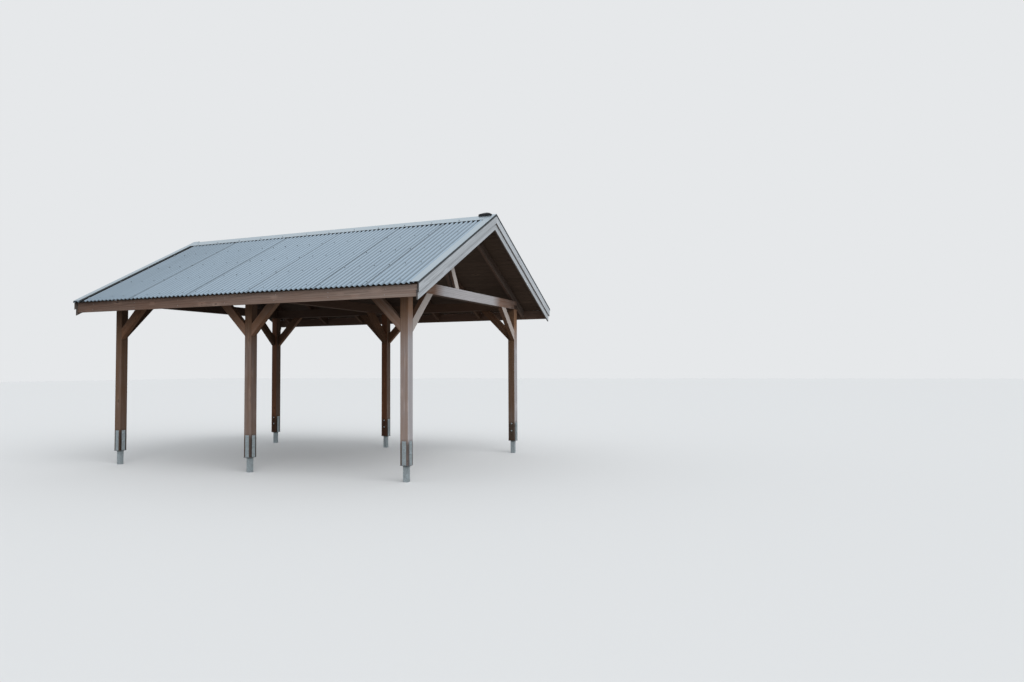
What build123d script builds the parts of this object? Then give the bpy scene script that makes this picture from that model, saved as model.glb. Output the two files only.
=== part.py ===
from build123d import *
import os
from math import cos, pi, radians, sin, sqrt, tan

# Six-post timber carport with a gable roof of corrugated steel.
# Millimetres, +Z up, ridge along X, origin on the ground under the middle of the roof.
# The long front side faces -Y and the gable with the ridge vent faces +X.

# Post grid
bay_length = 2475.0
row_spacing = 3430.0
overhang_right = 477.0
overhang_left = 353.0

# Posts, beams and braces
post_size = 115.0
post_chamfer = 3.0
beam_width = 115.0
beam_height = 140.0
beam_underside = 2390.0
brace_width = 115.0
brace_thickness = 70.0
brace_reach = 522.0

# Post shoes
shoe_height = 208.0
stem_size = 65.0
stem_wall = 4.0
stem_corner = 5.0
base_plate_thickness = 5.0
base_plate_inset = 7.5
strap_width = 60.0
strap_thickness = 5.0
strap_height = 300.0

# Roof frame
roof_pitch = 28.4
birdsmouth_seat = 64.0
rafter_width = 45.0
rafter_depth = 120.0
rafters_per_bay = 3
ridge_board_width = 45.0
ridge_board_height = 145.0
strut_width = 98.0
strut_offset = 422.0
strut_top_margin = 10.0

# Roof covering, measured square to the slope
board_thickness = 22.0
board_cover = 95.0
board_groove = 5.0
wave_pitch = 76.0
wave_depth = 18.0
wave_segments = 8
sheet_edge_gap = 1.0
sheet_thickness = 1.2
skin_gap = 0.3
seam_waves = (14.875, 28.75, 42.0, 56.0, 65.875)
lap_waves = 0.5
sheet_eave_drip = 41.0
sheet_ridge_gap = 45.0

# Eaves and verges
fascia_thickness = 22.0
fascia_height = 145.0
fascia_reach = 494.0
verge_board_thickness = 21.0
upper_verge_width = 118.0
lower_verge_width = 104.0
verge_board_lap = 22.0
upper_verge_tail = 26.0
lower_verge_tail = 15.0
mitre_gap = 0.6
flashing_leg = 30.0
flashing_tail = 43.0
cap_wing = 203.0
cap_bend = 90.0

# Ridge vent hood
vent_length = 200.0
vent_height = 30.0
vent_peak = 125.0
vent_width = 96.0
vent_end_distance = 68.0

# Derived places
slope = radians(roof_pitch)
frame_length = 2 * bay_length + post_size
half_roof = (2 * bay_length + overhang_left + overhang_right) / 2
post_x = {
    "left": -half_roof + overhang_left,
    "middle": -half_roof + overhang_left + bay_length,
    "right": half_roof - overhang_right,
}
row_y = {"front": -row_spacing / 2, "back": row_spacing / 2}
half_post = post_size / 2
half_beam = beam_width / 2
beam_top = beam_underside + beam_height
wood_end = half_roof - 2 * verge_board_thickness
cover_end = half_roof - verge_board_thickness
lap_height = beam_height / 2
wave_count = int(2 * cover_end / wave_pitch)
sheet_edges = [0, *(wave for wave in seam_waves if wave < wave_count - 2), wave_count]
fascia_face = row_spacing / 2 + fascia_reach
seat_line = row_spacing / 2 + half_beam - birdsmouth_seat
ridge_height = beam_top + seat_line * tan(slope) + rafter_depth / cos(slope)
strut_thickness = half_beam - rafter_width / 2
sheet_base = board_thickness + skin_gap
sheet_shift = sheet_edge_gap - wave_pitch / 4
trough_level = sheet_base + 2 * sheet_thickness + skin_gap
crest_level = trough_level + wave_depth
lip_line = (wave_count / 2 - 1) * wave_pitch
flashing_base = crest_level + skin_gap
cap_base = crest_level + skin_gap
outward = {"front": -1, "back": 1}


def roof_point(distance, height):
    """Y and Z of a point on the front slope: distance from the ridge, height square to the rafters' top."""
    return (-distance, ridge_height - distance * tan(slope) + height / cos(slope))


def slope_outline(start, end, low, high):
    """A strip of the front slope's section with plumb-cut ends."""
    return [roof_point(start, low), roof_point(end, low), roof_point(end, high), roof_point(start, high)]


def save(piece, name):
    piece.part.label = name
    export_step(piece.part, "parts/" + name + ".step")


def make_mirrored(source, name):
    """The back-slope twin of a front-slope piece."""
    with BuildPart() as twin:
        mirror(source.part, about=Plane.XZ)
    save(twin, name)


def make_post(side, row):
    with BuildPart() as post:
        with BuildSketch(Plane.XY.offset(shoe_height)):
            with Locations((post_x[side], row_y[row])):
                Rectangle(post_size, post_size)
        extrude(amount=beam_underside - shoe_height)
        chamfer(post.edges().filter_by(Axis.Z), post_chamfer)
    save(post, "post_" + row + "_" + side)


def make_shoe(side, row):
    """Square tube stem, base plate and three upright straps against the post."""
    x = post_x[side]
    y = row_y[row]
    out = outward[row]
    plate_under = shoe_height - base_plate_thickness
    with BuildPart() as shoe:
        with BuildSketch():
            with Locations((x, y)):
                RectangleRounded(stem_size, stem_size, stem_corner)
                inner = stem_size - 2 * stem_wall
                Rectangle(inner, inner, mode=Mode.SUBTRACT)
        extrude(amount=plate_under)
        with BuildSketch(Plane.XY.offset(plate_under)):
            depth = post_size + strap_thickness - base_plate_inset
            with Locations((x, y + out * (strap_thickness + base_plate_inset) / 2)):
                Rectangle(post_size + 2 * strap_thickness, depth)
        extrude(amount=base_plate_thickness)
        strap_centre = half_post + strap_thickness / 2
        with BuildSketch(Plane.XY.offset(shoe_height)):
            with Locations((x - strap_centre, y), (x + strap_centre, y)):
                Rectangle(strap_thickness, strap_width)
            with Locations((x, y + out * strap_centre)):
                Rectangle(strap_width, strap_thickness)
        extrude(amount=strap_height)
    save(shoe, "shoe_" + row + "_" + side)


def make_eave_beam(row):
    """Beam along a row of posts, halved from above where the tie beams cross it."""
    with BuildPart() as beam:
        with BuildSketch(Plane.XY.offset(beam_underside)):
            with Locations((post_x["middle"], row_y[row])):
                Rectangle(frame_length, beam_width)
        extrude(amount=beam_height)
        with BuildSketch(Plane.XY.offset(beam_top)):
            with Locations(*[(x, row_y[row]) for x in post_x.values()]):
                Rectangle(beam_width, beam_width)
        extrude(amount=-lap_height, mode=Mode.SUBTRACT)
    save(beam, "eave_beam_" + row)


def make_tie_beam(side):
    """Beam across the carport, halved from below over both eave beams."""
    with BuildPart() as beam:
        with BuildSketch(Plane.XY.offset(beam_underside)):
            with Locations((post_x[side], 0)):
                Rectangle(beam_width, row_spacing + post_size)
        extrude(amount=beam_height)
        with BuildSketch(Plane.XY.offset(beam_underside)):
            with Locations(*[(post_x[side], y) for y in row_y.values()]):
                Rectangle(beam_width, beam_width)
        extrude(amount=lap_height, mode=Mode.SUBTRACT)
    save(beam, "tie_beam_" + side)


def brace_outline(face, direction):
    """A 45 degree brace in elevation: from a post face up to the underside of the beam."""
    cut = brace_width * sqrt(2)
    foot = beam_underside - brace_reach
    return [
        (face, foot),
        (face + direction * brace_reach, beam_underside),
        (face + direction * (brace_reach - cut), beam_underside),
        (face, foot + cut),
    ]


def make_bay_braces(row, bay, left_post, right_post):
    """The two braces that stiffen one bay along an eave beam, flush with the posts' outer faces."""
    out = outward[row]
    with BuildPart() as braces:
        with BuildSketch(Plane.XZ.offset(-row_y[row] - out * half_post)):
            Polygon(*brace_outline(post_x[left_post] + half_post, 1), align=None)
            Polygon(*brace_outline(post_x[right_post] - half_post, -1), align=None)
        extrude(amount=out * brace_thickness)
    save(braces, "braces_" + row + "_" + bay)


def make_tie_braces(side, face_x):
    """The two braces under a tie beam; face_x is the side of the brace nearest +X."""
    with BuildPart() as braces:
        with BuildSketch(Plane.YZ.offset(face_x)):
            Polygon(*brace_outline(row_y["front"] + half_post, 1), align=None)
            Polygon(*brace_outline(row_y["back"] - half_post, -1), align=None)
        extrude(amount=-brace_thickness)
    save(braces, "tie_braces_" + side)


def make_rafters(name, places):
    """Pairs of rafters against the ridge board, each with a birdsmouth over its eave beam."""
    tail = fascia_face - fascia_thickness
    with BuildPart() as rafters:
        for x in places:
            with BuildSketch(Plane.YZ.offset(x)):
                Polygon(*slope_outline(ridge_board_width / 2, tail, -rafter_depth, 0), align=None)
                with Locations((row_y["front"], beam_top)):
                    Rectangle(beam_width, beam_height, align=(Align.CENTER, Align.MAX), mode=Mode.SUBTRACT)
                mirror(about=Plane.YZ)
            extrude(amount=rafter_width / 2, both=True)
    save(rafters, name)


def strut_outline():
    """A strut square to the front rafter, standing on the tie beam."""
    top = ridge_height - strut_offset * tan(slope)
    length = (top - beam_top) * cos(slope) - strut_top_margin
    half = strut_width / 2
    foot = [(-strut_offset + e / cos(slope), beam_top) for e in (-half, half)]
    head = []
    for e in (half, -half):
        y = -strut_offset + e * cos(slope) - length * sin(slope)
        z = beam_top + e * sin(slope) + length * cos(slope)
        head.append((y, z))
    return foot + head


def make_struts():
    with BuildPart() as struts:
        for x in post_x.values():
            for face in (x + rafter_width / 2, x - rafter_width / 2 - strut_thickness):
                with BuildSketch(Plane.YZ.offset(face)):
                    Polygon(*strut_outline(), align=None)
                extrude(amount=strut_thickness)
    save(struts, "truss_struts")


def make_ridge_board():
    top = ridge_height - ridge_board_width / 2 * tan(slope)
    with BuildPart() as board:
        with BuildSketch(Plane.XY.offset(top)):
            Rectangle(2 * wood_end, ridge_board_width)
        extrude(amount=-ridge_board_height)
    save(board, "ridge_board")


def make_roof_boards():
    """Tongued boards laid along the roof, with a V joint under each board's edge."""
    run = fascia_face / cos(slope)
    underside = Plane(
        origin=(0, *roof_point(0, 0)),
        x_dir=(0, -cos(slope), -sin(slope)),
        z_dir=(1, 0, 0),
    )
    with BuildPart() as boards:
        with BuildSketch(Plane.YZ.offset(-cover_end)):
            Polygon(*slope_outline(0, fascia_face, 0, board_thickness), align=None)
        extrude(amount=2 * cover_end)
        with BuildSketch(underside):
            joints = int(run / board_cover)
            with Locations(*[(n * board_cover, 0) for n in range(1, joints + 1)]):
                Rectangle(board_groove, board_groove, rotation=45)
        extrude(amount=cover_end, both=True, mode=Mode.SUBTRACT)
    save(boards, "roof_boards_front")
    make_mirrored(boards, "roof_boards_back")


def wave_line(first, last, level):
    """The corrugation between two wave numbers, which count from the left end of the roof."""
    points = []
    for i in range(round(first * wave_segments), round(last * wave_segments) + 1):
        wave = i / wave_segments
        height = wave_depth / 2 * (1 - sin(2 * pi * wave))
        points.append((sheet_shift + (wave - wave_count / 2) * wave_pitch, level + height))
    return Polyline(*points)


def make_roof_sheets():
    """Corrugated sheets side by side, every second one lying over the edges of its neighbours."""
    sheet_end = fascia_face + sheet_eave_drip
    across = Plane(
        origin=(0, *roof_point(sheet_ridge_gap, 0)),
        x_dir=(1, 0, 0),
        z_dir=(0, -cos(slope), -sin(slope)),
    )
    with BuildPart() as sheets:
        for number, (start, end) in enumerate(zip(sheet_edges, sheet_edges[1:])):
            over = number % 2
            level = sheet_base + over * (sheet_thickness + skin_gap)
            if not over:
                start = max(0, start - lap_waves)
                end = min(wave_count, end + lap_waves)
            with BuildSketch(across):
                with BuildLine():
                    under = wave_line(start, end, level)
                    top = wave_line(start, end, level + sheet_thickness)
                    Line(under @ 0, top @ 0)
                    Line(under @ 1, top @ 1)
                make_face()
            extrude(amount=(sheet_end - sheet_ridge_gap) / cos(slope))
    save(sheets, "roof_sheets_front")
    make_mirrored(sheets, "roof_sheets_back")


def make_fascia():
    with BuildPart() as fascia:
        top = roof_point(fascia_face, 0)[1]
        with BuildSketch(Plane.XY.offset(top)):
            with Locations((0, -fascia_face)):
                Rectangle(2 * wood_end, fascia_thickness, align=(Align.CENTER, Align.MIN))
        extrude(amount=-fascia_height)
    save(fascia, "fascia_front")
    make_mirrored(fascia, "fascia_back")


def make_gable_pair(name, end, outer, thickness, tail, low, high):
    """Two boards or strips that follow the slopes of one gable and meet on the ridge line."""
    with BuildPart() as pair:
        with BuildSketch(Plane.YZ.offset(end * outer)):
            Polygon(*slope_outline(mitre_gap / 2, fascia_face + tail, low, high), align=None)
            mirror(about=Plane.YZ)
        extrude(amount=-end * thickness)
    save(pair, name)


def make_verge_boards(side, end):
    upper_high = crest_level - skin_gap
    upper_low = upper_high - upper_verge_width
    lower_high = upper_low + verge_board_lap
    make_gable_pair(
        "verge_board_upper_" + side,
        end,
        half_roof,
        verge_board_thickness,
        upper_verge_tail,
        upper_low,
        upper_high,
    )
    make_gable_pair(
        "verge_board_lower_" + side,
        end,
        cover_end,
        verge_board_thickness,
        lower_verge_tail,
        lower_high - lower_verge_width,
        lower_high,
    )


def make_verge_flashing(side, end):
    """Folded steel strip: a leg down the upper board, a flange on the crests and a lip down into a trough."""
    top = flashing_base + sheet_thickness
    flashing_end = fascia_face + flashing_tail
    outer_face = half_roof + sheet_thickness
    folds = (
        (outer_face, sheet_thickness, top - flashing_leg),
        (outer_face, outer_face - lip_line, flashing_base),
        (lip_line + sheet_thickness, sheet_thickness, trough_level + skin_gap),
    )
    with BuildPart() as flashing:
        for face, width, low in folds:
            with BuildSketch(Plane.YZ.offset(end * face)):
                Polygon(*slope_outline(mitre_gap / 2, flashing_end, low, top), align=None)
                mirror(about=Plane.YZ)
            extrude(amount=-end * width)
    save(flashing, "verge_flashing_" + side)


def make_ridge_cap():
    """Sheet steel folded over the ridge with an easy bend, fitted between the lips of the verge flashings."""
    cap_end = lip_line - skin_gap
    with BuildPart() as cap:
        with BuildSketch(Plane.YZ.offset(-cap_end)) as section:
            Polygon(*slope_outline(0, cap_wing, cap_base, cap_base + sheet_thickness), align=None)
            mirror(about=Plane.YZ)
            fold = section.vertices().filter_by_position(Axis.X, -0.1, 0.1).sort_by(Axis.Y)
            fillet(fold[0], cap_bend)
            fold = section.vertices().sort_by(Axis.Y)
            fillet(fold[-1], cap_bend + sheet_thickness)
        extrude(amount=2 * cap_end)
    save(cap, "ridge_cap")


def make_ridge_vent():
    """Low hood astride the ridge cap: a crescent in elevation, a chevron in section."""
    seat = cap_base + sheet_thickness + skin_gap
    apex = roof_point(0, seat)[1]
    x_end = half_roof - vent_end_distance
    x_start = x_end - vent_length
    lowest = roof_point(vent_width / 2, seat)[1]
    with BuildPart() as vent:
        with BuildSketch(Plane.YZ.offset(x_start)):
            Polygon(*slope_outline(0, vent_width / 2, seat, seat + vent_height), align=None)
            mirror(about=Plane.YZ)
        extrude(amount=vent_length)
        with BuildSketch(Plane.XZ):
            with BuildLine():
                Spline((x_start, apex), (x_start + vent_peak, apex + vent_height), (x_end, apex))
                Polyline((x_end, apex), (x_end, lowest), (x_start, lowest), (x_start, apex))
            make_face()
        extrude(amount=vent_width / 2, both=True, mode=Mode.INTERSECT)
    save(vent, "ridge_vent")


def main():
    os.makedirs("parts", exist_ok=True)
    for row in row_y:
        for side in post_x:
            make_post(side, row)
            make_shoe(side, row)
        make_eave_beam(row)
        make_bay_braces(row, "left_bay", "left", "middle")
        make_bay_braces(row, "right_bay", "middle", "right")
    for side in post_x:
        make_tie_beam(side)
        make_rafters("truss_rafters_" + side, [post_x[side]])
    make_tie_braces("left", post_x["left"] - half_post + brace_thickness)
    make_tie_braces("middle", post_x["middle"] + brace_thickness / 2)
    make_tie_braces("right", post_x["right"] + half_post)
    for name, start in (("left_bay", post_x["left"]), ("right_bay", post_x["middle"])):
        step = bay_length / rafters_per_bay
        make_rafters("common_rafters_" + name, [start + n * step for n in range(1, rafters_per_bay)])
    make_struts()
    make_ridge_board()
    make_roof_boards()
    make_roof_sheets()
    make_fascia()
    for side, end in (("left", -1), ("right", 1)):
        make_verge_boards(side, end)
        make_verge_flashing(side, end)
    make_ridge_cap()
    make_ridge_vent()


main()
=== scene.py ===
"""Open timber carport: weathered glulam posts, galvanised shoes and a roof of bare corrugated steel."""

import math
import random

import bmesh
import bpy
from bpy.props import FloatProperty, FloatVectorProperty, IntProperty, PointerProperty
from bpy.types import Operator, Panel, PropertyGroup
from mathutils import Matrix, Vector, noise


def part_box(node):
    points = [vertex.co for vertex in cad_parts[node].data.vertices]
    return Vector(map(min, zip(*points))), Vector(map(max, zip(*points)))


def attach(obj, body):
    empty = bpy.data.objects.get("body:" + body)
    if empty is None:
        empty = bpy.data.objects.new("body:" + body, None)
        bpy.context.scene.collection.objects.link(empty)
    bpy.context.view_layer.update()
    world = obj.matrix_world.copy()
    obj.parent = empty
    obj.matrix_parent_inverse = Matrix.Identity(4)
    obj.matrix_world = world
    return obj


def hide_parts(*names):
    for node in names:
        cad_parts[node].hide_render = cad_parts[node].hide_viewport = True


bl_info = {
    "name": "Timber Carport",
    "version": (1, 0, 0),
    "blender": (4, 5, 0),
    "location": "3D View > Sidebar > Carport",
    "description": "Weathered timber, galvanised shoes and bare corrugated sheets on the carport's frame",
    "category": "Object",
}

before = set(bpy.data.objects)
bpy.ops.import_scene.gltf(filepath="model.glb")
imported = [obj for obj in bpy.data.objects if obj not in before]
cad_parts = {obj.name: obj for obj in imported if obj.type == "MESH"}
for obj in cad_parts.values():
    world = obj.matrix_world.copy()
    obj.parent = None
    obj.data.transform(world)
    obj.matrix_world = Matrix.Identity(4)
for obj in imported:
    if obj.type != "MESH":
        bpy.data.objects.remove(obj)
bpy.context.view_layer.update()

SIDES = ("left", "middle", "right")
# each row of posts and each gable with the sign of its outward direction
ROWS = {"front": -1, "back": 1}
GABLES = {"left": -1, "right": 1}

SLOPE = math.radians(28.4)
HALF_RIDGE_BOARD = 0.0225
RIDGE_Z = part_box("truss_rafters_middle")[1].z + HALF_RIDGE_BOARD * math.tan(SLOPE)
CAP_EDGE = -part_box("ridge_cap")[0].y / math.cos(SLOPE)

# heights square to the rafters' top, in metres
BOARD_TOP = 0.0216
SHEET_SEAT, LAP_STEP = 0.0223, 0.0015
CAP_FILLER, EAVES_FILLER = (0.0248, 0.0431), (0.0221, 0.0217)
SCREW_SEAT, CAP_SCREW_SEAT = 0.0436, 0.0447

# distances from the ridge in plan, in metres
SHEET_START = 0.045
SCREW_ROWS = (0.640, 1.150, 1.656, 2.165)
CAP_SCREWS = 0.150
VERGE_NAILS = (0.12, 0.5)

# places along the ridge, in metres
RAFTER_START, RAFTER_STEP, RAFTERS = -2.537, 0.825, 7
BOARD_STOPS = (-2.0, -0.85, -0.03, 0.80, 1.62)

BOARD_JOINT = 0.0006
RIDGE_GAP = 0.00024
BOARD_GROOVE = 0.0035
SHEET_TRIM = 0.0115
FILLER_WIDTH = 0.030
BOLT_HEIGHTS, BOLT_STAGGER = (0.352, 0.470), 0.018
STRAP = 0.005
WASHER = 0.002

SHEET_PITCH = 0.076
# waves from the left end to each lap: waves to its dark line of painted shadow and dirt, the line's spread in
# metres and its depth
SEAMS = {
    14.875: (14.875, 0.007, 1.0),
    28.75: (28.75, 0.016, 0.9),
    42.0: (42.0, 0.004, 1.0),
    56.0: (56.0, 0.003, 0.8),
    65.875: (66.0, 0.003, 1.0),
}
# a darker strip beside the flashings' lips: metres in from each end of the sheets, and depth
LIP_DARK_STRIPS = ((0.143, 1.1), (0.04, 0.8))

# beyond these places, in metres, rain and sun reach the outer faces
LEFT_GABLE, RIGHT_GABLE, EAVES, POST_ROW, POST_TOP = -2.55, 2.42, 1.7, 1.65, 2.3

# directions askew to every edge, so that the timbers and their edges and faces keep one order
ASKEW, OUTWARD = Vector((0.17, 0.05, 1.0)), Vector((1.0, -0.6, 0.1))

# the camera: place in metres; turn, tilt and roll in degrees; lens in millimetres
EYE = (7.231, -9.783, 1.399)
TURN, TILT, ROLL = (math.radians(angle) for angle in (22.776, 2.134, -0.279))
LENS = 26.17


def linear(code):
    """An sRGB hex colour as linear red, green and blue."""
    parts = [int(code[i:i + 2], 16) / 255 for i in (1, 3, 5)]
    return tuple(p / 12.92 if p <= 0.04045 else ((p + 0.055) / 1.055) ** 2.4 for p in parts)


def rgba(colour):
    """A colour with full alpha."""
    return (*colour, 1.0)


def colour_property(name, description, code):
    return FloatVectorProperty(
        name=name, description=description, subtype="COLOR", size=3, min=0.0, max=1.0, default=linear(code)
    )


def length_property(name, description, metres):
    return FloatProperty(name=name, description=description, unit="LENGTH", min=0.0, default=metres)


class CarportColours(PropertyGroup):
    """Colours of the carport's finishes."""

    post: colour_property("Posts", "Weathered glulam of the posts", "#8A6951")
    post_grey: colour_property("Post greying", "Silvered wood on the posts", "#A19EA1")
    brace: colour_property("Braces", "Stained wood of the knee braces", "#9C7154")
    brace_grey: colour_property("Brace greying", "Silvered wood on the braces", "#A39C98")
    beam: colour_property("Beams", "Sheltered wood of the beams", "#80614E")
    beam_grey: colour_property("Beam greying", "Silvered wood on the beams", "#BBB9BC")
    rafter: colour_property("Rafters", "Sheltered wood under the roof", "#6A5142")
    boarding: colour_property("Boarding", "Roof boards seen from below", "#635246")
    fascia: colour_property("Fascia", "Planed eaves board", "#8E6F5F")
    fascia_grey: colour_property("Fascia greying", "Silvered wood on the eaves board", "#A0958E")
    verge: colour_property("Verge boards", "Planed gable boards", "#A2948C")
    verge_grey: colour_property("Verge greying", "Silvered wood on the gable boards", "#9EA3A8")
    sheet: colour_property("Roof sheets", "Aluminium-zinc skin of the sheets", "#B2C3D1")
    flashing: colour_property("Flashings", "Aluminium-zinc skin of the flashings", "#B9C5CD")
    zinc: colour_property("Zinc", "Hot-dip galvanised steel", "#C6D2D8")
    vent: colour_property("Ridge vent", "Black satin steel", "#17191C")
    screw: colour_property("Roof screws", "Zinc-plated screw heads", "#A3AFB8")
    rubber: colour_property("Rubber", "Washers and profile fillers", "#1A1B1C")
    bounce: colour_property("Bounce", "What the floor gives back to the timber", "#84827F")
    floor: colour_property("Floor", "Pale studio floor", "#DADBDC")
    backdrop: colour_property("Backdrop", "Pale studio background", "#E6E8EA")
    overhead: colour_property("Mirrored overhead", "What shiny faces see above them", "#EFF4F8")
    level: colour_property("Mirrored at eye level", "What shiny faces see beside them", "#2A3034")


class CarportSizes(PropertyGroup):
    """Sizes of the details that are added to the frame."""

    arris: length_property("Arris", "Rounding of the timber edges", 0.003)
    lamella: length_property("Lamella", "Thickness of the glued lamellas", 0.03833)
    sheet_gauge: length_property("Sheet gauge", "Thickness of the roof sheets", 0.0006)
    wave_depth: length_property("Wave depth", "Depth of the corrugation", 0.018)
    screw_head: length_property("Screw head", "Width of a roofing screw's hexagon", 0.010)
    washer: length_property("Washer", "Diameter of a roofing screw's washer", 0.016)
    bolt: length_property("Bolt", "Thread diameter of the shoe bolts", 0.012)
    board_cover: length_property("Board cover", "Visible width of a roof board", 0.095)
    screw_waves: IntProperty(name="Screw waves", description="Waves from one screw to the next", default=3)


def add(tree, kind, sockets=None, operation=None, **settings):
    """Adds a node with its settings; a socket takes a value or another node's output."""
    made = tree.nodes.new("ShaderNode" + kind)
    if operation:
        made.operation = operation
    for key, value in settings.items():
        setattr(made, key, value)
    for key, value in (sockets or {}).items():
        if isinstance(value, bpy.types.NodeSocket):
            tree.links.new(value, made.inputs[key])
        else:
            made.inputs[key].default_value = value
    return made.outputs


def blank_material(name):
    """A material without nodes, and its node tree."""
    material = bpy.data.materials.new(name)
    material.use_nodes = True
    material.node_tree.nodes.clear()
    return material, material.node_tree


def per_metre(mm):
    """How often a pattern of this size in millimetres comes in a metre."""
    return 1000.0 / mm


def stretched(length, width):
    """Scale of a pattern that runs down the fibre or the slope, with its length and width in millimetres."""
    return (per_metre(length), per_metre(width), per_metre(width))


def spruce_figure(tree, grain):
    """Knots, growth rings, fibres, broad streaks and drying cracks."""
    cell = add(tree, "VectorMath", {0: grain, 1: stretched(312.5, 117.65)}, "MULTIPLY")[0]
    knots = add(tree, "TexVoronoi", {"Vector": cell, "Scale": 1.0})
    pick = add(tree, "SeparateColor", {0: knots["Color"]})
    chosen = add(tree, "Math", {0: pick[0], 1: 0.5}, "GREATER_THAN")[0]
    radius = add(tree, "MapRange", {0: pick[1], 3: 0.07, 4: 0.13})[0]
    knot = add(tree, "Math", {0: knots["Distance"], 1: radius}, "DIVIDE")[0]
    rounds = []
    for near, far in ((0.6, 1.0), (0.8, 4.0)):
        part = {0: knot, 1: near, 2: far, 3: 1.0, 4: 0.0}
        part = add(tree, "MapRange", part, interpolation_type="SMOOTHSTEP")[0]
        rounds.append(add(tree, "Math", {0: part, 1: chosen}, "MULTIPLY")[0])
    core, swirl = rounds
    # the fibres bend round the knots
    bend = add(tree, "Math", {0: swirl, 1: 0.02}, "MULTIPLY")[0]
    bent = add(tree, "VectorMath", {0: grain, 1: bend}, "ADD")[0]
    tilted = add(tree, "Mapping", {"Vector": bent, "Rotation": (0.0, 0.035, 0.021), "Scale": (0.25, 1, 1)})[0]
    # the wave node turns 20 radians in a unit, so this is a ring every 13.09 mm
    scale = math.tau / 20 * per_metre(13.09)
    ring = add(
        tree,
        "TexWave",
        {"Vector": tilted, "Scale": scale, "Distortion": 2.6, "Detail": 2.0, "Detail Scale": 0.6},
        wave_type="RINGS",
        rings_direction="X",
    )["Fac"]
    noises = []
    for line, length, width, detail, rough in (
        (bent, 285.7, 4.167, 3.0, 0.6),
        (grain, 1250.0, 31.25, 4.0, 0.65),
        (bent, 909.0, 14.286, 1.0, 0.5),
    ):
        drawn = add(tree, "VectorMath", {0: line, 1: stretched(length, width)}, "MULTIPLY")[0]
        sockets = {"Vector": drawn, "Scale": 1.0, "Detail": detail, "Roughness": rough}
        noises.append(add(tree, "TexNoise", sockets)["Fac"])
    fibre, streak, crack = noises
    crack = add(tree, "Math", {0: crack, 1: 0.5, 2: 0.013}, "COMPARE")[0]
    where = add(tree, "MapRange", {0: streak, 1: 0.54, 2: 0.66})[0]
    crack = add(tree, "Math", {0: crack, 1: where}, "MULTIPLY")[0]
    return core, swirl, ring, fibre, streak, crack


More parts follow.
